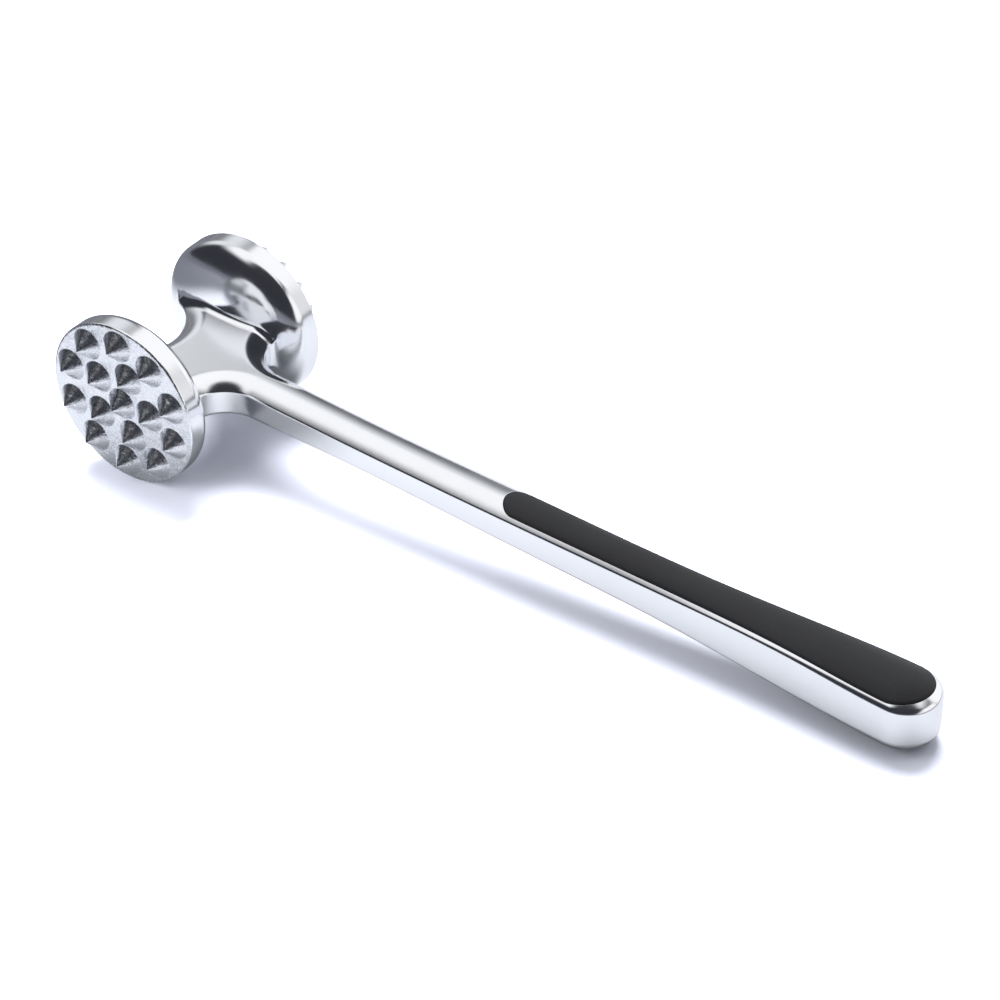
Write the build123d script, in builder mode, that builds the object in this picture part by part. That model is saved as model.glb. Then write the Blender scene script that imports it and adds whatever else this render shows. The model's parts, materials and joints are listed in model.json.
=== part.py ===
from build123d import *
import os
from math import asin, atan, cos, degrees, radians, sin, sqrt

# A meat mallet lying on a table: one polished metal casting (two mushroom heads, a neck
# and a long handle) with a soft grip inlay bonded into each broad side of the handle.
# Millimetres. The origin is on the table, below the middle of the head. X runs along
# the handle, Y along the axis through both heads, Z up.

# --- Driving dimensions ---
head_radius = 22.5  # rim of both heads
head_width = 50.0  # from striking face to striking face, without the teeth
rim_width = 4.2  # straight band behind each striking face
rim_edge = 0.4  # rounding between the band and the striking face
dome_depth = 7.5  # from the band to the crown of the mushroom's back
tooth_height = 4.0
tooth_tip_radius = 0.3
coarse_tooth_radius = 4.3
coarse_rings = [(9.0, 5, 0), (17.2, 10, 18)]  # ring radius, teeth, turn in degrees
fine_tooth_radius = 2.8
fine_ring_step = 6.2  # from each ring of fine teeth to the next
fine_ring_count = 3
tooth_turn = 2.5  # degrees by which both patterns are turned from the handle's line

neck_rear = 5.2  # from the head's axis to the hollow behind it
neck_rear_curve = 14.8  # radius of that hollow
neck_front = 15.4  # from the head's axis to the front walls beside the handle
neck_front_curve = 9.9  # radius from those walls into the handle
neck_half_height = 6.1
rear_corner_side = 13.2  # how far out the hollow behind the neck reaches
handle_side = 5.5  # half width at which that curve meets the handle
neck_reach = 21.5  # how far the neck runs into each head
neck_fillet = 1.5  # between the neck and each dome
neck_bevel = 4.6  # bevel along the neck's edges, measured inwards
neck_bevel_drop = 2.2  # the same bevel, measured downwards

# Along the handle: distance from the head's axis, half width, half thickness, rise of the
# arched broad sides, and the rounding between a broad side and a side wall
head_end = (0.0, 5.8, 6.2, 2.8, 0.8)
waist = (60.0, 5.7, 5.6, 2.8, 0.8)
grip_start = (106.0, 6.0, 6.1, 2.8, 0.9)
grip_middle = (154.0, 6.1, 6.9, 2.8, 1.0)
grip_flare = (190.0, 7.6, 8.1, 2.8, 1.4)
butt = (215.4, 9.0, 9.0, 3.8, 2.4)
handle_stations = [head_end, waist, grip_start, grip_middle, grip_flare, butt]

lip = 1.15  # metal left beside each inlay
butt_lip = 1.1  # further metal left beyond each inlay's round end
pocket_depth = 2.2
inlay_proud = 0.3
inlay_gap = 0.1  # clearance between an inlay and its pocket wall
pad_thickness = 0.2
pad_inset = 0.5  # the bonding pad stops short of the pocket wall

# --- Lying position ---
# The mallet rests on the rims of both heads and on the underside of the butt.
head_offset = 0.8  # the head's axis lies this far above the handle's middle plane
butt_drop = head_radius - head_offset - butt[2] - inlay_proud
tilt = degrees(asin(butt_drop / butt[0]))
along_handle = Vector(cos(radians(tilt)), 0, -sin(radians(tilt)))
handle_up = Vector(sin(radians(tilt)), 0, cos(radians(tilt)))
head_centre = Vector(0, 0, head_radius)
handle_origin = head_centre - handle_up * head_offset

handle_plane = Plane(origin=handle_origin, x_dir=along_handle, z_dir=handle_up)
head_plane = Plane(origin=head_centre, x_dir=along_handle, z_dir=handle_up)
near_face = Plane(head_centre - Vector(0, head_width / 2, 0), x_dir=along_handle, z_dir=(0, -1, 0))
far_face = Plane(head_centre + Vector(0, head_width / 2, 0), x_dir=along_handle, z_dir=(0, 1, 0))


def across_handle(distance):
    """The plane square to the handle at a distance from the head's axis."""
    origin = handle_origin + along_handle * distance
    return Plane(origin=origin, x_dir=(0, 1, 0), z_dir=along_handle)


def handle_form(grow):
    """The handle without its pockets, grown by so much on each broad side."""
    with BuildPart() as form:
        for distance, half_width, half_thickness, crown, shoulder in handle_stations:
            top = half_thickness + grow
            wall = top - crown
            with BuildSketch(across_handle(distance)) as section:
                with BuildLine():
                    ThreePointArc((half_width, wall), (0, top), (-half_width, wall))
                    Line((-half_width, wall), (-half_width, -wall))
                    ThreePointArc((-half_width, -wall), (0, -top), (half_width, -wall))
                    Line((half_width, -wall), (half_width, wall))
                make_face()
                fillet(section.vertices(), shoulder)
        loft()
        # The round butt is half of the last section turned about its upright middle line.
        butt_plane = across_handle(butt[0])
        with BuildSketch(butt_plane):
            add(butt_plane.to_local_coords(section.sketch))
            with Locations((-butt[1], 0)):
                Rectangle(2 * butt[1], 4 * butt[2], mode=Mode.SUBTRACT)
        revolve(axis=Axis(butt_plane.origin, handle_up), revolution_arc=-180)
    return form.part


def grip_outline(inset):
    """Plan outline of the grip pocket on the handle's middle plane, moved inwards by inset."""
    sides = [Vector(station[0], station[1] - lip - inset) for station in handle_stations[2:]]
    first = sides[0]
    last = sides[-1]
    last.X -= butt_lip
    with BuildSketch(handle_plane) as outline:
        with BuildLine():
            Spline(*sides, tangents=((1, 0), (1, 0)))
            ThreePointArc(last, (last.X + last.Y, 0), (last.X, -last.Y))
            Spline(*[(p.X, -p.Y) for p in reversed(sides)], tangents=((-1, 0), (-1, 0)))
            ThreePointArc((first.X, -first.Y), (first.X - first.Y, 0), first)
        make_face()
    return outline.sketch


handle_skin = handle_form(0)
inlay_top_form = handle_form(inlay_proud)
pad_top_form = handle_form(pad_thickness - pocket_depth)
pocket_floor_form = handle_form(-pocket_depth)
prism_height = 2 * butt[2]

# --- The pocket, as a solid above the pocket floor ---
with BuildPart() as pocket:
    extrude(grip_outline(0), amount=prism_height)
    add(pocket_floor_form, mode=Mode.SUBTRACT)

# --- Neck: straight walls with a bevel above and below, run well into both heads ---
rear_line = -neck_rear - neck_rear_curve
rear_corner = Vector(rear_line + sqrt(neck_rear_curve**2 - rear_corner_side**2), rear_corner_side)
front_side = neck_front_curve + handle_side
neck_end = neck_front + neck_front_curve
neck_wall = neck_half_height - neck_bevel_drop


def neck_outline(plane):
    """Plan outline of the neck on a plane parallel to the handle's middle plane."""
    with BuildSketch(plane) as outline:
        with BuildLine():
            Line((-neck_rear, 0), (neck_end, 0))
            Line((neck_end, 0), (neck_end, handle_side))
            RadiusArc((neck_end, handle_side), (neck_front, front_side), neck_front_curve)
            Polyline((neck_front, front_side), (neck_front, neck_reach), (-neck_front, neck_reach))
            Line((-neck_front, neck_reach), rear_corner)
            RadiusArc(rear_corner, (-neck_rear, 0), neck_rear_curve)
        make_face()
        mirror(about=Plane.XZ)
    return outline.sketch


with BuildPart() as neck:
    extrude(neck_outline(handle_plane), amount=neck_wall)
    extrude(
        neck_outline(handle_plane.offset(neck_wall)),
        amount=neck_bevel_drop,
        taper=degrees(atan(neck_bevel / neck_bevel_drop)),
    )
    mirror(about=handle_plane)

# --- Casting ---
face_distance = head_width / 2
band_end = face_distance - rim_width
face_radius = head_radius - rim_edge
coarse_taper = degrees(atan((coarse_tooth_radius - tooth_tip_radius) / tooth_height))
fine_taper = degrees(atan((fine_tooth_radius - tooth_tip_radius) / tooth_height))
with BuildPart() as mallet_casting:
    # One head, turned about the axis through both heads
    with BuildSketch(head_plane):
        with BuildLine():
            Line((0, -face_distance), (face_radius, -face_distance))
            RadiusArc((face_radius, -face_distance), (head_radius, rim_edge - face_distance), -rim_edge)
            Line((head_radius, rim_edge - face_distance), (head_radius, -band_end))
            EllipticalCenterArc((0, -band_end), head_radius, dome_depth, 0, arc_size=90)
            Line((0, dome_depth - band_end), (0, -face_distance))
        make_face()
    revolve(axis=Axis(head_centre, (0, 1, 0)))
    mirror(about=Plane.XZ)
    # Coarse teeth, in rings about a middle tooth, on the near head
    with BuildSketch(near_face):
        Circle(coarse_tooth_radius)
        for ring_radius, count, turn in coarse_rings:
            with PolarLocations(ring_radius, count, start_angle=tooth_turn + turn):
                Circle(coarse_tooth_radius)
    extrude(amount=tooth_height, taper=coarse_taper)
    # Fine teeth on the far head
    with BuildSketch(far_face):
        Circle(fine_tooth_radius)
        for ring in range(1, fine_ring_count + 1):
            with PolarLocations(fine_ring_step * ring, 6 * ring, start_angle=-tooth_turn):
                Circle(fine_tooth_radius)
    extrude(amount=tooth_height, taper=fine_taper)
    add(neck.part)
    fillet(mallet_casting.edges(Select.NEW), neck_fillet)
    add(handle_skin)
    add(pocket.part, mode=Mode.SUBTRACT)
    mirror(pocket.part, about=handle_plane, mode=Mode.SUBTRACT)

# --- Grip inlays and the pads that bond them ---
with BuildPart() as grip_inlay_top:
    extrude(grip_outline(inlay_gap), amount=prism_height)
    add(inlay_top_form, mode=Mode.INTERSECT)
    add(pad_top_form, mode=Mode.SUBTRACT)
with BuildPart() as bonding_pad_top:
    extrude(grip_outline(pad_inset), amount=prism_height)
    add(pad_top_form, mode=Mode.INTERSECT)
    add(pocket_floor_form, mode=Mode.SUBTRACT)
with BuildPart() as grip_inlay_underside:
    mirror(grip_inlay_top.part, about=handle_plane)
with BuildPart() as bonding_pad_underside:
    mirror(bonding_pad_top.part, about=handle_plane)

mallet_casting.part.label = "mallet_casting"
grip_inlay_top.part.label = "grip_inlay_top"
grip_inlay_underside.part.label = "grip_inlay_underside"
bonding_pad_top.part.label = "bonding_pad_top"
bonding_pad_underside.part.label = "bonding_pad_underside"

os.makedirs("parts", exist_ok=True)
export_step(mallet_casting.part, "parts/mallet_casting.step")
export_step(grip_inlay_top.part, "parts/grip_inlay_top.step")
export_step(grip_inlay_underside.part, "parts/grip_inlay_underside.step")
export_step(bonding_pad_top.part, "parts/bonding_pad_top.step")
export_step(bonding_pad_underside.part, "parts/bonding_pad_underside.step")
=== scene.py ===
import json
from math import asin, atan2, cos, hypot, pi, radians, sin

import bmesh
import bpy
import numpy as np
from mathutils import Matrix, Vector


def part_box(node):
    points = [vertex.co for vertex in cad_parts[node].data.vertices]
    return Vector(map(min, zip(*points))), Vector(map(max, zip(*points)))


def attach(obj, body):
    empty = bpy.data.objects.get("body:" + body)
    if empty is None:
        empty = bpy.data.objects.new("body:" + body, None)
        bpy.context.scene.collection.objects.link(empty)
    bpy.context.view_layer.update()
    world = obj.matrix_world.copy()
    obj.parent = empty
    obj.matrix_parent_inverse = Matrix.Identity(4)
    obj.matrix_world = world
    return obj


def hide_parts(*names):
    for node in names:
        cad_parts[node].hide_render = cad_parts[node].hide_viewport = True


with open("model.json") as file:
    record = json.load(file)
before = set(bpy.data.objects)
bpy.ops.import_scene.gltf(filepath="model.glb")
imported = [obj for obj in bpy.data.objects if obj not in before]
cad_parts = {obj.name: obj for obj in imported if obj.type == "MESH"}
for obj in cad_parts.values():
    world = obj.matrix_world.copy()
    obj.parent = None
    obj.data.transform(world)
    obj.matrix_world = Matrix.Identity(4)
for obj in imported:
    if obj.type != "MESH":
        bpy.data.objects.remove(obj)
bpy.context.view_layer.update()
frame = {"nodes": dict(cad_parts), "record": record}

# ------------------------------------------------------------------ dimensions, millimetres
MM = 0.001
mounts = {mount["name"]: mount for mount in frame["record"]["mounts"]}
coarse_face = Vector(mounts["coarse_face"]["pos_m"]) / MM
casting_low = Vector(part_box("mallet_casting")[0]) / MM

skin_margin = 0.02  # keeps the finer skin just inside the CAD model's box
head_radius = coarse_face.z - skin_margin  # the head lies on its rim, its centre one radius up
face_distance = -coarse_face.y  # from the middle of the mallet to each striking face
tooth_height = -casting_low.y - face_distance
rim_width = 4.2  # straight band behind each striking face
rim_edge = 0.4  # rounding at the edge of each striking face
dome_depth = 7.5  # from the band to the crown of the mushroom's back
dome_flatness = 2.2  # exponents of the dome's curve: outwards, a little fuller than an ellipse,
dome_fullness = 2.0  # and inwards, the same as an ellipse

coarse_tooth_radius = 4.3
coarse_rings = [(0.0, 1, 0), (9.0, 5, 0), (17.2, 10, 18)]  # ring radius, teeth, turn in degrees
fine_tooth_radius = 2.8
fine_ring_step = 6.2  # from each ring of fine teeth to the next
fine_rings = [(fine_ring_step * ring, max(1, 6 * ring), 0) for ring in range(4)]
tooth_turn = 2.5  # degrees by which both patterns are turned from the handle's line
tooth_tip = 0.35  # radius of each blunt point
tooth_root = 0.5  # radius of the small curve at each tooth's foot

# Handle frame: u along the handle from the head's axis, y across, v square to both.
head_offset = 0.8  # the head's axis lies this far above the handle's middle plane
neck_rear = 5.2  # from the head's axis to the hollow behind it
neck_rear_curve = 14.8  # radius of that hollow
neck_front = 15.4  # from the head's axis to the front walls beside the handle
neck_front_curve = 9.9  # radius from those walls into the handle
neck_reach = 21.5  # how far the neck runs into each head
neck_fillet = 1.7  # between the neck and each dome
rear_corner_rounding = 2.0  # where the hollow meets the neck's rear end
rear_corner_lean = 0.3
# Distance from the head's axis, half width, half thickness, rise of the arched broad sides, and
# the rounding between a broad side and a side wall. The butt's half width is a hair under the
# CAD model's 9.0, which keeps the skin inside its box.
handle_stations = np.array(
    [
        (0.0, 5.8, 6.2, 2.8, 0.8),
        (60.0, 5.7, 5.6, 2.8, 0.8),
        (106.0, 6.0, 6.1, 2.8, 0.9),
        (154.0, 6.1, 6.9, 2.8, 1.0),
        (190.0, 7.6, 8.1, 2.8, 1.4),
        (215.4, 8.96, 9.0, 3.8, 2.4),
    ]
)
grip_start = handle_stations[2][0]
butt_place, butt_radius, butt_thickness, _, _ = handle_stations[-1]
lip = 1.15  # metal left beside each inlay
butt_lip = 1.1  # further metal left beyond each inlay's round end
lip_edge = 0.15  # rounding where the lip meets the pocket
pocket_depth = 2.2
inlay_proud = 0.3
inlay_gap = 0.1  # clearance between an inlay and its pocket wall
inlay_edge = 0.45  # rounding along an inlay's upper edge
pad_thickness = 0.2

butt_drop = head_radius - head_offset - butt_thickness - inlay_proud
tilt = asin(butt_drop / butt_place)
handle_to_world = (
    Matrix.Scale(MM, 4)
    @ Matrix.Translation((0, 0, head_radius))
    @ Matrix.Rotation(tilt, 4, "Y")
    @ Matrix.Translation((0, 0, -head_offset))
)


def smooth_through(places, values):
    """Cubic spline through a few values, level at both ends, as a function of the place."""
    step = np.diff(places)
    rise = np.diff(values) / step
    last = len(places) - 1
    system = np.zeros((last + 1, last + 1))
    goal = np.zeros(last + 1)
    system[0, :2] = step[0] / 3, step[0] / 6
    goal[0] = rise[0]
    for i in range(1, last):
        system[i, i - 1 : i + 2] = step[i - 1] / 6, (step[i - 1] + step[i]) / 3, step[i] / 6
        goal[i] = rise[i] - rise[i - 1]
    system[last, last - 1 :] = step[-1] / 6, step[-1] / 3
    goal[last] = -rise[-1]
    bend = np.linalg.solve(system, goal)

    def value_at(place):
        place = np.clip(place, places[0], places[-1])
        i = np.clip(np.searchsorted(places, place) - 1, 0, last - 1)
        done = place - places[i]
        left = places[i + 1] - place
        curved = (bend[i] * left**3 + bend[i + 1] * done**3) / (6 * step[i])
        start = (values[i] / step[i] - bend[i] * step[i] / 6) * left
        end = (values[i + 1] / step[i] - bend[i + 1] * step[i] / 6) * done
        return curved + start + end

    return value_at


half_width = smooth_through(handle_stations[:, 0], handle_stations[:, 1])
half_thickness = smooth_through(handle_stations[:, 0], handle_stations[:, 2])
crown = smooth_through(handle_stations[:, 0], handle_stations[:, 3])
shoulder_radius = smooth_through(handle_stations[:, 0], handle_stations[:, 4])
neck_end = neck_front + neck_front_curve
front_curve_side = float(half_width(neck_end)) + neck_front_curve
rear_curve_place = -neck_rear - neck_rear_curve


# ------------------------------------------------------------------ the casting as distances
def round_union(a, b, radius):
    """Distance to two joined solids, with a fillet of that radius where they meet."""
    reach = np.hypot(np.maximum(radius - a, 0), np.maximum(radius - b, 0))
    return np.maximum(radius, np.minimum(a, b)) - reach


def round_overlap(a, b, radius, lean=0.0):
    """Distance to what two solids share, with a rounded edge where their surfaces meet.

    lean is the cosine of the angle between the two surfaces' outward directions.
    """
    p = a + radius
    q = b + radius
    square = (p**2 + q**2 - 2 * p * q * lean) / (1 - lean**2)
    edge = (p > q * lean) & (q > p * lean)
    return np.where(edge, np.sqrt(np.maximum(square, 0)) - radius, np.maximum(a, b))


def head_distance(u, y, v):
    """Both heads: a band, a flat face and a domed back, all turned about one axis."""
    radial = np.hypot(u, v - head_offset)
    depth = np.maximum(face_distance - rim_width - np.abs(y), 0) / dome_depth
    level = (radial / head_radius) ** dome_flatness + depth**dome_fullness - 1
    slope_out = dome_flatness * (radial / head_radius) ** (dome_flatness - 1) / head_radius
    slope_in = dome_fullness * depth ** (dome_fullness - 1) / dome_depth
    least_slope = 0.02  # the level is flat on the axis, deep inside the head
    side = level / np.maximum(np.hypot(slope_out, slope_in), least_slope)
    return round_overlap(side, np.abs(y) - face_distance, rim_edge)


def inside_outline(u, y):
    """How far a point lies inside the plan outline of the neck and the handle."""
    across = np.abs(y)
    hollow = neck_rear_curve - np.hypot(u - rear_curve_place, across)
    past_rear_end = u + neck_front
    rear = -round_overlap(hollow, -past_rear_end, rear_corner_rounding, rear_corner_lean)
    curve = np.hypot(u - neck_end, across - front_curve_side) - neck_front_curve
    beside_head = np.minimum(neck_front - u, neck_reach - across)
    front = np.where(across < front_curve_side, curve, beside_head)
    side = half_width(u) - across
    nose = butt_radius - np.hypot(u - butt_place, across)
    handle = np.where(u > butt_place, nose, side)
    return np.where(u < neck_end, np.minimum(rear, front), handle)


def broad_side(u, inside):
    """Height and slope of the arched broad side, so far inside the plan outline."""
    span = half_width(u)
    away = 1 - np.clip(inside / span, 0, 1)
    rise = crown(u)
    return half_thickness(u) - rise * away**2, 2 * rise * away / span


def shaft_distance(u, y, v):
    """The neck and the handle: side walls, arched broad sides and rounded shoulders."""
    inside = inside_outline(u, y)
    height, slope = broad_side(u, inside)
    steepness = np.sqrt(1 + slope**2)
    above = (np.abs(v) - height) / steepness
    return round_overlap(-inside, above, shoulder_radius(u), slope / steepness)


def casting_distance(u, y, v):
    return round_union(head_distance(u, y, v), shaft_distance(u, y, v), neck_fillet)


def outward(points, reach=0.02):
    """Direction in which the casting's distance grows, at each point."""
    slope = np.empty_like(points)
    for axis in range(3):
        step = np.zeros(3)
        step[axis] = reach
        ahead = casting_distance(*(points + step).T)
        slope[:, axis] = ahead - casting_distance(*(points - step).T)
    return slope / np.maximum(np.linalg.norm(slope, axis=1, keepdims=True), 1e-9)


def settle(points, rounds=4):
    """Moves points along the distance's slope until they lie on the casting's skin."""
    for _ in range(rounds):
        points = points - outward(points) * casting_distance(*points.T)[:, None]
    return points


# ------------------------------------------------------------------ meshes from those distances
def skin_of_heads(cell, end):
    """Heads, neck and the first stretch of handle up to the plane u = end, as quads."""
    # The last layer of cells is centred on that plane. Across, the layers start at uneven parts
    # of a cell, so that no flat stretch of skin falls on a cell's wall.
    layers = int((end + head_radius) / cell) + 3
    low = (
        end - (layers + 0.5) * cell,
        -face_distance - 1.3 * cell,
        head_offset - head_radius - 1.4 * cell,
    )
    high = (
        end + 0.6 * cell,
        face_distance + 1.5 * cell,
        head_offset + head_radius + 1.5 * cell,
    )
    ticks = [np.arange(start, stop, cell) for start, stop in zip(low, high)]
    solid = casting_distance(*np.meshgrid(*ticks, indexing="ij")) < 0
    corners = [
        solid[i : i - 1 or None, j : j - 1 or None, k : k - 1 or None]
        for i in (0, 1)
        for j in (0, 1)
        for k in (0, 1)
    ]
    filled = sum(corner.astype(np.int8) for corner in corners)
    crossed = (filled > 0) & (filled < 8)
    number = np.full(crossed.shape, -1)
    number[crossed] = np.arange(crossed.sum())
    places = np.argwhere(crossed)
    points = low + (places + 0.5) * cell
    quads = []
    for axis in range(3):
        order = (axis, (axis + 1) % 3, (axis + 2) % 3)
        inner = solid.transpose(order)[:, 1:-1, 1:-1]
        cells = number.transpose(order)
        around = (cells[:, :-1, :-1], cells[:, 1:, :-1], cells[:, 1:, 1:], cells[:, :-1, 1:])
        around = np.stack(around, axis=-1)
        quads.append(around[inner[:-1] & ~inner[1:]])
        quads.append(around[inner[1:] & ~inner[:-1]][:, ::-1])
    quads = np.concatenate(quads)
    cut = places[:, 0] == places[:, 0].max()

    # Spread the points evenly over the skin
    edges = np.concatenate([quads[:, [i, (i + 1) % 4]] for i in range(4)])
    edges = np.concatenate([edges, edges[:, ::-1]])
    count = np.bincount(edges[:, 0], minlength=len(points))[:, None]
    points = settle(points)
    spreading_rounds = 6
    for _ in range(spreading_rounds):
        middle = np.zeros_like(points)
        np.add.at(middle, edges[:, 0], points[edges[:, 1]])
        spread = 0.5 * points + 0.5 * middle / count
        spread[cut] = points[cut]
        points = settle(spread, rounds=2)
        points[cut, 0] = end
    return points, quads


# ------------------------------------------------------------------ structured grids
def grid(rows):
    """Points and quads of a grid given as rows of points."""
    rows = np.array(rows, dtype=float)
    count, width = rows.shape[:2]
    number = np.arange(count * width).reshape(count, width)
    quads = np.stack([number[:-1, :-1], number[:-1, 1:], number[1:, 1:], number[1:, :-1]], axis=-1)
    return rows.reshape(-1, 3), quads.reshape(-1, 4)


def mirrored(shape, axis):
    """The shape on the other side of the middle plane across that axis."""
    points, quads = shape
    sign = np.ones(3)
    sign[axis] = -1
    return points * sign, quads[:, ::-1]


def joined(shapes):
    """Several shapes as one, not yet welded."""
    points = []
    quads = []
    count = 0
    for shape_points, shape_quads in shapes:
        points.append(shape_points)
        quads.append(shape_quads + count)
        count += len(shape_points)
    return np.concatenate(points), np.concatenate(quads)


def raised(shape):
    """Lifts points from heights above the upper broad side to heights above the middle plane."""
    points, quads = shape
    u, y, rise = points.T
    height, _ = broad_side(u, inside_outline(u, y))
    step = 0.01
    least_change = 0.2 * step  # where the skin is steep
    for _ in range(4):
        error = casting_distance(u, y, height)
        change = casting_distance(u, y, height + step) - error
        height = height - error * step / np.maximum(change, least_change)
    return np.stack([u, y, height + rise], axis=1), quads


def grip_path(tip_steps, side_step):
    """A quarter of the pocket's outline as centres, directions and distances from them."""
    grip_end = butt_place - butt_lip
    side_steps = int((grip_end - grip_start) / side_step)
    start_turns = np.linspace(pi, pi / 2, tip_steps, endpoint=False)
    side_places = np.linspace(grip_start, grip_end, side_steps, endpoint=False)
    end_turns = np.linspace(pi / 2, 0, tip_steps + 1)
    start_reach = float(half_width(grip_start)) - lip
    end_reach = float(half_width(grip_end)) - lip
    path = [(grip_start, turn, start_reach) for turn in start_turns]
    path += [(u, pi / 2, float(half_width(u)) - lip) for u in side_places]
    path += [(grip_end, turn, end_reach) for turn in end_turns]
    return path


def polar(centre, turn, reach, height):
    """Point at so far from a centre on the middle line, in the direction turn."""
    return centre + reach * cos(turn), reach * sin(turn), height


def handle_quarter(start, path, side_step):
    """A quarter of the handle's skin, from the plane u = start to the rim of the pocket."""
    wall_steps = 4
    corner_steps = 6
    top_steps = 8
    corner_share = 0.6  # of the shoulder's radius, set aside for the finer steps on each side
    first_rim = path[0][0] - path[0][2] - lip_edge
    places = np.linspace(start, first_rim, int((first_rim - start) / side_step), endpoint=False)
    # Rim of the pocket, then the centre and direction of the wall beside it
    sections = [((u, 0.0), u, pi / 2) for u in places]
    for centre, turn, reach in path:
        rim_u, rim_y, _ = polar(centre, turn, reach + lip_edge, 0)
        if turn > pi / 2:  # beside the pocket's round start
            sections.append(((rim_u, rim_y), rim_u, pi / 2))
        elif turn == pi / 2:
            sections.append(((rim_u, rim_y), centre, turn))
        else:
            sections.append(((rim_u, rim_y), butt_place, turn))
    walls = []
    tops = []
    for (rim_u, rim_y), centre, turn in sections:
        wall_u, wall_y, _ = polar(centre, turn, float(half_width(centre)), 0)
        wall = float(half_thickness(centre) - crown(centre))
        corner = corner_share * float(shoulder_radius(centre))
        low_part = np.linspace(0, wall - corner, wall_steps, endpoint=False)
        high_part = np.linspace(wall - corner, wall, corner_steps + 1)
        walls.append([(wall_u, wall_y, v) for v in (*low_part, *high_part)])
        gap = hypot(wall_u - rim_u, wall_y - rim_y)
        bend = min(corner / gap, 0.8)
        bent_part = np.linspace(0, bend, corner_steps + 1)[1:]
        flat_part = np.linspace(bend, 1, top_steps + 1)[1:]
        top = []
        for part in (*bent_part, *flat_part):
            top.append((wall_u + part * (rim_u - wall_u), wall_y + part * (rim_y - wall_y), 0))
        tops.append(top)
    tops = np.array(tops)
    u, y, _ = tops.T
    tops[:, :, 2] = broad_side(u, inside_outline(u, y))[0].T
    points, quads = grid(np.concatenate([walls, tops], axis=1))
    points = settle(points)
    rim, _ = raised(grid(tops[:, -1:] * (1, 1, 0)))
    points.reshape(len(sections), -1, 3)[:, -1] = rim
    return points, quads


def pocket_quarter(path):
    """The rounded lip, wall and floor of a quarter of the pocket."""
    rows = []
    for centre, turn, reach in path:
        row = []
        for angle in np.linspace(0, pi / 2, 5):
            out = reach + lip_edge * (1 - sin(angle))
            row.append(polar(centre, turn, out, lip_edge * (cos(angle) - 1)))
        for part in (1.0, 0.5, 0.0):
            row.append(polar(centre, turn, part * reach, -pocket_depth))
        rows.append(row)
    return raised(grid(rows))


def inlay_quarter(path):
    """A quarter of a grip inlay: underside, wall, rounded edge and top."""
    bottom = pad_thickness - pocket_depth
    rows = []
    for centre, turn, reach in path:
        edge = reach - inlay_gap
        row = [polar(centre, turn, part * edge, bottom) for part in (0.0, 0.5, 1.0)]
        for angle in np.linspace(0, pi / 2, 7):
            out = edge - inlay_edge * (1 - cos(angle))
            row.append(polar(centre, turn, out, inlay_proud - inlay_edge * (1 - sin(angle))))
        for part in np.linspace(1, 0, 7)[1:]:
            row.append(polar(centre, turn, part * (edge - inlay_edge), inlay_proud))
        rows.append(row)
    return raised(grid(rows))


def tooth(radius, around):
    """One blunt cone standing on the coarse face's plane, with a small curve at its foot."""
    tip_height = tooth_height - tooth_tip
    lean = atan2(tip_height, radius) + asin(tooth_tip / hypot(radius, tip_height))
    foot = radius + tooth_root * (1 - cos(lean)) / sin(lean)
    profile = []
    for angle in np.linspace(0, lean, 5):
        profile.append((foot - tooth_root * sin(angle), tooth_root * (1 - cos(angle))))
    low_out, low_up = profile[-1]
    high_out = tooth_tip * sin(lean)
    high_up = tip_height + tooth_tip * cos(lean)
    for part in (0.3, 0.6, 0.8):
        profile.append((low_out + part * (high_out - low_out), low_up + part * (high_up - low_up)))
    for angle in np.linspace(lean, 0, 5):
        profile.append((tooth_tip * sin(angle), tip_height + tooth_tip * cos(angle)))
    rows = []
    for turn in np.linspace(2 * pi, 0, around + 1):
        rows.append([(out * cos(turn), -face_distance - up, out * sin(turn)) for out, up in profile])
    return grid(rows)


def teeth(radius, rings, around):
    """A pattern of teeth in rings, on the coarse face's side."""
    one_points, one_quads = tooth(radius, around)
    patterns = []
    for ring_radius, count, turn in rings:
        for i in range(count):
            angle = radians(tooth_turn + turn + 360 * i / count)
            shift = (ring_radius * cos(angle), 0, head_offset + ring_radius * sin(angle))
            patterns.append((one_points + shift, one_quads))
    return joined(patterns)


# ------------------------------------------------------------------ pieces
def mesh_object(name, points, faces, normals=None):
    """A smooth-shaded object in world metres from points in the handle's frame."""
    mesh = bpy.data.meshes.new(name)
    mesh.from_pydata(points.tolist(), [], faces)
    mesh.shade_smooth()
    if normals is not None:
        mesh.normals_split_custom_set_from_vertices(normals.tolist())
    mesh.transform(handle_to_world)
    piece = bpy.data.objects.new(name, mesh)
    bpy.context.collection.objects.link(piece)
    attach(piece, "root")
    return piece


def welded(points, quads, bridge_at=None):
    """One mesh of the quads, with doubled points merged and two open ends bridged."""
    work = bmesh.new()
    verts = [work.verts.new(point) for point in points]
    for quad in quads:
        work.faces.new([verts[i] for i in quad])
    weld_reach = 0.002
    bmesh.ops.remove_doubles(work, verts=work.verts, dist=weld_reach)
    if bridge_at:
        low, high = bridge_at
        rim = [
            edge
            for edge in work.edges
            if edge.is_boundary and all(low < vert.co.x < high for vert in edge.verts)
        ]
        bmesh.ops.bridge_loops(work, edges=rim)
    work.verts.index_update()
    points = np.array([vert.co for vert in work.verts])
    faces = [[vert.index for vert in face.verts] for face in work.faces]
    work.free()
    return points, faces


def all_sides(quarter):
    """A quarter of the handle mirrored across it, and then to its lower side."""
    both = joined([quarter, mirrored(quarter, 1)])
    return joined([both, mirrored(both, 2)])


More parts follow.
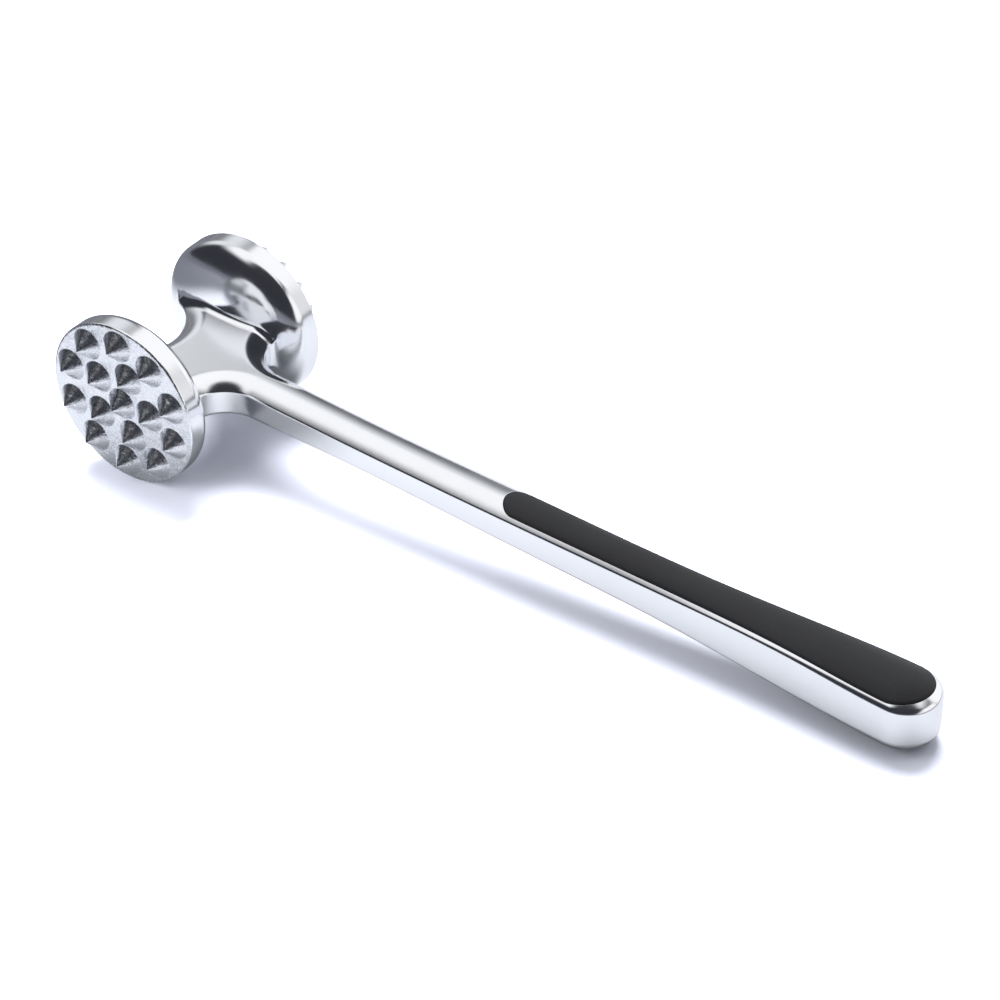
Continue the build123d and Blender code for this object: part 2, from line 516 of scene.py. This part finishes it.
def make_casting():
    """Heads, neck, handle, pockets and all teeth as one object."""
    skin_cell = 0.5
    skin_end = 32.0  # where the fine skin of heads and neck hands over to the handle's grid
    handle_start = skin_end + skin_cell
    side_step = 2.5
    path = grip_path(tip_steps=16, side_step=side_step)
    heads = skin_of_heads(skin_cell, skin_end)
    handle = all_sides(handle_quarter(handle_start, path, side_step))
    pockets = all_sides(pocket_quarter(path))
    open_ends = (skin_end - 0.1, handle_start + 0.1)
    body, body_faces = welded(*joined([heads, handle, pockets]), bridge_at=open_ends)
    coarse = teeth(coarse_tooth_radius, coarse_rings, around=40)
    fine = mirrored(teeth(fine_tooth_radius, fine_rings, around=28), 1)
    spikes, spike_faces = welded(*joined([coarse, fine]))
    points = np.concatenate([body, spikes])
    faces = body_faces + [[i + len(body) for i in face] for face in spike_faces]

    # Normals of the distance where a point lies on its skin, and of the mesh elsewhere
    plain = bpy.data.meshes.new("plain")
    plain.from_pydata(points.tolist(), [], faces)
    normals = np.empty(len(points) * 3, dtype=np.float32)
    plain.vertex_normals.foreach_get("vector", normals)
    bpy.data.meshes.remove(plain)
    normals = normals.reshape(-1, 3).astype(float)
    on_skin = np.zeros(len(points), dtype=bool)
    skin_tolerance = 0.01
    on_skin[: len(body)] = np.abs(casting_distance(*body.T)) < skin_tolerance
    normals[on_skin] = outward(points[on_skin])
    return mesh_object("casting", points, faces, normals)


def make_inlay(name, upper):
    """The grip inlay of the upper or the lower broad side."""
    path = grip_path(tip_steps=24, side_step=2.0)
    quarter = inlay_quarter(path)
    whole = joined([quarter, mirrored(quarter, 1)])
    if not upper:
        whole = mirrored(whole, 2)
    return mesh_object(name, *welded(*whole))


# ------------------------------------------------------------------ camera values
camera_turn = radians(38.70)  # from straight in front of the coarse face towards the butt
camera_height = radians(36.49)
camera_roll = radians(-2.40)
camera_distance = 1.0393  # metres
camera_lens = 155.0
sensor_width = 36.0
aim_place = 99.0  # along the mallet, near the start of the grip
aim_height = 19.15
back = Vector(
    (
        sin(camera_turn) * cos(camera_height),
        -cos(camera_turn) * cos(camera_height),
        sin(camera_height),
    )
)


# ------------------------------------------------------------------ materials
class Nodes:
    """A material's or world's node tree, with short calls to add and link nodes.

    An input is named by its socket, with _ for each space, or by _ and its number.
    """

    def __init__(self, owner):
        owner.use_nodes = True
        self.tree = owner.node_tree
        self.tree.nodes.clear()

    def add(self, kind, settings=None, **inputs):
        node = self.tree.nodes.new(kind)
        for name, value in (settings or {}).items():
            setattr(node, name, value)
        for name, value in inputs.items():
            key = int(name[1:]) if name[0] == "_" else name.replace("_", " ")
            socket = node.inputs[key]
            if isinstance(value, bpy.types.NodeSocket):
                self.tree.links.new(value, socket)
            else:
                socket.default_value = value
        return node

    def math(self, operation, first, second=0.0, third=0.0):
        node = self.add("ShaderNodeMath", {"operation": operation}, _0=first, _1=second, _2=third)
        return node.outputs[0]

    def ramp(self, value, low, high, low_result=0.0, high_result=1.0, curve="SMOOTHSTEP"):
        node = self.add(
            "ShaderNodeMapRange", {"interpolation_type": curve},
            _0=value, _1=low, _2=high, _3=low_result, _4=high_result,
        )
        return node.outputs[0]

    def blend(self, factor, first, second):
        node = self.add("ShaderNodeMix", {"data_type": "RGBA"}, _0=factor, _6=first, _7=second)
        return node.outputs[2]

    def noise(self, place, scale, detail=2.0, roughness=0.5):
        node = self.add(
            "ShaderNodeTexNoise", None, Vector=place, Scale=scale, Detail=detail, Roughness=roughness
        )
        return node.outputs["Fac"]


def material(name, base, metallic=0.0, **constants):
    """A Principled material; returns it with its nodes, its shader and the object's position."""
    made = bpy.data.materials.new(name)
    nodes = Nodes(made)
    constants["Base_Color"] = (*base, 1)
    shader = nodes.add("ShaderNodeBsdfPrincipled", None, Metallic=metallic, **constants)
    nodes.add("ShaderNodeOutputMaterial", None, Surface=shader.outputs[0])
    place = nodes.add("ShaderNodeTexCoord").outputs["Object"]
    return made, nodes, shader, place


def link(nodes, shader, socket, value):
    nodes.tree.links.new(value, shader.inputs[socket])


# Noise scales are in features per metre.
def make_chrome():
    """Buffed plate, with a rougher cast skin on the two striking faces."""
    plate = (0.86, 0.87, 0.9)
    cast_plate = (0.75, 0.77, 0.81)
    cast_start = 0.25  # behind each striking face, where the cast skin begins
    cast_blend = 0.2
    made, nodes, shader, place = material("polished_chrome", plate, metallic=1.0)
    across = nodes.add("ShaderNodeSeparateXYZ", None, Vector=place).outputs["Y"]
    depth = nodes.math("ABSOLUTE", across)
    edge = (face_distance - cast_start) * MM
    cast = nodes.ramp(depth, edge, edge + cast_blend * MM)
    link(nodes, shader, "Base Color", nodes.blend(cast, (*plate, 1), (*cast_plate, 1)))

    buffing = nodes.noise(place, 90.0, detail=3.0)
    grain = nodes.noise(place, 1400.0, detail=4.0, roughness=0.6)
    pits = nodes.noise(place, 520.0, detail=3.0)
    polished = nodes.ramp(buffing, 0.3, 0.7, 0.12, 0.17)
    rough = nodes.ramp(grain, 0.3, 0.7, 0.24, 0.34)
    rougher = nodes.math("MULTIPLY", nodes.math("SUBTRACT", rough, polished), cast)
    link(nodes, shader, "Roughness", nodes.math("ADD", rougher, polished))

    height = nodes.math("ADD", nodes.math("MULTIPLY", pits, 0.7), nodes.math("MULTIPLY", grain, 0.3))
    strength = nodes.ramp(cast, 0.0, 1.0, 0.02, 0.5)
    bump = nodes.add("ShaderNodeBump", None, Strength=strength, Distance=0.0006, Height=height)
    link(nodes, shader, "Normal", bump.outputs[0])
    return made


def make_rubber():
    """Matt black rubber with a fine grain and slightly cloudy wear."""
    made, nodes, shader, place = material(
        "grip_rubber", (0.035, 0.036, 0.038), Roughness=0.6, Specular_IOR_Level=0.3
    )
    cloud = nodes.noise(place, 60.0, detail=3.0)
    grain = nodes.noise(place, 2600.0, detail=2.0)
    tone = nodes.blend(cloud, (0.009, 0.0095, 0.010, 1), (0.014, 0.014, 0.0155, 1))
    link(nodes, shader, "Base Color", tone)
    link(nodes, shader, "Roughness", nodes.ramp(cloud, 0.3, 0.7, 0.58, 0.7))
    bump = nodes.add("ShaderNodeBump", None, Strength=0.25, Distance=0.0002, Height=grain)
    link(nodes, shader, "Normal", bump.outputs[0])
    return made


def make_film():
    """Pale adhesive film."""
    made, nodes, shader, place = material("adhesive_film", (0.78, 0.76, 0.68), Roughness=0.4)
    cloud = nodes.noise(place, 400.0)
    tone = nodes.blend(cloud, (0.72, 0.70, 0.62, 1), (0.82, 0.80, 0.73, 1))
    link(nodes, shader, "Base Color", tone)
    return made


def make_paper():
    """Pale floor. Rays other than the camera's see painted reflection tones: a duller patch around
    the mallet, and painted dark beyond it.
    """
    seen_tone = (0.76, 0.785, 0.90, 1)
    # Painted reflection tones, seen only by rays other than the camera's: a duller patch round the
    # mallet, then painted dark further off
    painted_reflection_tone = (0.36, 0.37, 0.395, 1)
    painted_dark_reflection_tone = (0.07, 0.073, 0.085, 1)
    made, nodes, shader, place = material("floor_paper", (0.9, 0.9, 0.9), Roughness=0.9)
    parts = nodes.add("ShaderNodeSeparateXYZ", None, Vector=place)
    # Mask of the painted reflection patch round the mallet
    behind_head = nodes.ramp(parts.outputs["X"], -0.085, -0.05)
    in_front = nodes.ramp(parts.outputs["Y"], -0.145, -0.085)
    past_butt = nodes.ramp(parts.outputs["X"], 0.26, 0.34, 1.0, 0.0)
    painted_reflection_patch = nodes.math("MULTIPLY", nodes.math("MULTIPLY", behind_head, in_front), past_butt)
    painted_reflection_colour = nodes.blend(painted_reflection_patch, painted_dark_reflection_tone, painted_reflection_tone)
    seen = nodes.add("ShaderNodeLightPath").outputs["Is Camera Ray"]
    link(nodes, shader, "Base Color", nodes.blend(seen, painted_reflection_colour, seen_tone))
    return made


# ------------------------------------------------------------------ the mallet
casting = make_casting()
inlay_top = make_inlay("inlay_top", upper=True)
inlay_underside = make_inlay("inlay_underside", upper=False)
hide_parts("mallet_casting")
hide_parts("grip_inlay_top")
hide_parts("grip_inlay_underside")
casting.data.materials.append(make_chrome())
rubber = make_rubber()
for inlay in (inlay_top, inlay_underside):
    inlay.data.materials.append(rubber)
film = make_film()
for name in ("bonding_pad_top", "bonding_pad_underside"):
    pad = frame["nodes"][name]
    pad.data.materials.clear()
    pad.data.materials.append(film)


# ------------------------------------------------------------------ studio
def make_floor():
    """A wide flat floor at the height that the mallet lies on."""
    reach = 3.0  # metres
    mesh = bpy.data.meshes.new("floor")
    corners = [(-reach, -reach, 0), (reach, -reach, 0), (reach, reach, 0), (-reach, reach, 0)]
    mesh.from_pydata(corners, [], [(0, 1, 2, 3)])
    mesh.materials.append(make_paper())
    floor = bpy.data.objects.new("floor", mesh)
    bpy.context.collection.objects.link(floor)


def make_camera():
    """The camera at the photograph's viewing angle."""
    data = bpy.data.cameras.new("camera")
    data.lens = camera_lens
    data.sensor_width = sensor_width
    camera = bpy.data.objects.new("camera", data)
    bpy.context.collection.objects.link(camera)
    place = Vector((aim_place, 0, aim_height)) * MM + back * camera_distance
    turn = back.to_track_quat("Z", "Y").to_matrix().to_4x4()
    camera.matrix_world = Matrix.Translation(place) @ turn @ Matrix.Rotation(camera_roll, 4, "Z")
    bpy.context.scene.camera = camera


def make_studio():
    """Soft panels behind, at the right and overhead, with a dark room on the camera's side."""
    world = bpy.data.worlds.new("studio")
    bpy.context.scene.world = world
    nodes = Nodes(world)
    direction = nodes.add("ShaderNodeTexCoord").outputs["Generated"]
    parts = nodes.add("ShaderNodeSeparateXYZ", None, Vector=direction)
    turn = nodes.math("DEGREES", nodes.math("ARCTAN2", parts.outputs["X"], parts.outputs["Y"]))
    height = nodes.math("DEGREES", nodes.math("ARCSINE", parts.outputs["Z"]))
    dark_core = radians(34)  # half angles of the dark room around the camera's direction
    dark_edge = radians(46)

    def window(value, low, high, soft):
        opened = nodes.ramp(value, low - soft, low + soft)
        closed = nodes.ramp(value, high - soft, high + soft, 1.0, 0.0)
        return nodes.math("MULTIPLY", opened, closed)

    # Each panel's turn from the far side towards the butt, and its height: from, to and
    # softness in degrees. Then its colour and strength.
    panels = [
        ((-400, 400, 1), (48, 200, 10), (1.0, 1.0, 1.0), 1.08),
        ((-90, -34, 12), (16, 50, 12), (0.96, 0.98, 1.0), 0.9),
        ((-90, -34, 12), (-90, 12, 10), (0.93, 0.95, 1.0), 0.28),
        ((-26, 48, 5), (-90, 200, 10), (1.0, 1.0, 1.0), 1.1),
        ((48, 112, 12), (-90, 36, 8), (1.0, 1.0, 1.0), 1.08),
    ]
    dark = (0.035, 0.037, 0.045, 1)
    total = dark
    for (left, right, turn_soft), (low, high, height_soft), color, strength in panels:
        upright = window(turn, left, right, turn_soft)
        level = window(height, low, high, height_soft)
        lit = (*(channel * strength for channel in color), 1)
        total = nodes.blend(nodes.math("MULTIPLY", upright, level), total, lit)
    facing = nodes.add("ShaderNodeVectorMath", {"operation": "DOT_PRODUCT"}, _0=direction, _1=back)
    room = nodes.ramp(facing.outputs["Value"], cos(dark_edge), cos(dark_core))
    total = nodes.blend(room, total, dark)
    surroundings = nodes.add("ShaderNodeBackground", None, Color=total, Strength=1.0)
    plain = nodes.add("ShaderNodeBackground", None, Color=(1, 1, 1, 1), Strength=1.0)
    seen = nodes.add("ShaderNodeLightPath").outputs["Is Camera Ray"]
    choice = nodes.add(
        "ShaderNodeMixShader", None, _0=seen, _1=surroundings.outputs[0], _2=plain.outputs[0]
    )
    nodes.add("ShaderNodeOutputWorld", None, Surface=choice.outputs[0])


def add_light(data, energy, middle, toward):
    """Puts a light 0.3 m from a point in millimetres, in the direction toward, shining at it."""
    data.energy = energy
    light = bpy.data.objects.new(data.name, data)
    bpy.context.collection.objects.link(light)
    toward = Vector(toward).normalized()
    turn = toward.to_track_quat("Z", "Y").to_matrix().to_4x4()
    light.matrix_world = Matrix.Translation(Vector(middle) * MM + toward * 0.3) @ turn
    light.visible_glossy = False


def make_lights():
    """A broad soft light from above and behind, and a weak one in front of the coarse face."""
    key = bpy.data.lights.new("key", "SUN")
    key.angle = radians(39)
    add_light(key, 6.8, (aim_place, 0, 0), (-0.35, 0.36, 0.87))
    fill = bpy.data.lights.new("fill", "AREA")
    fill.size = 0.3
    add_light(fill, 1.6, (-20, -45, 0), (-0.35, -0.75, 0.55))


make_floor()
make_camera()
make_studio()
make_lights()
bpy.context.scene.view_settings.view_transform = "Standard"
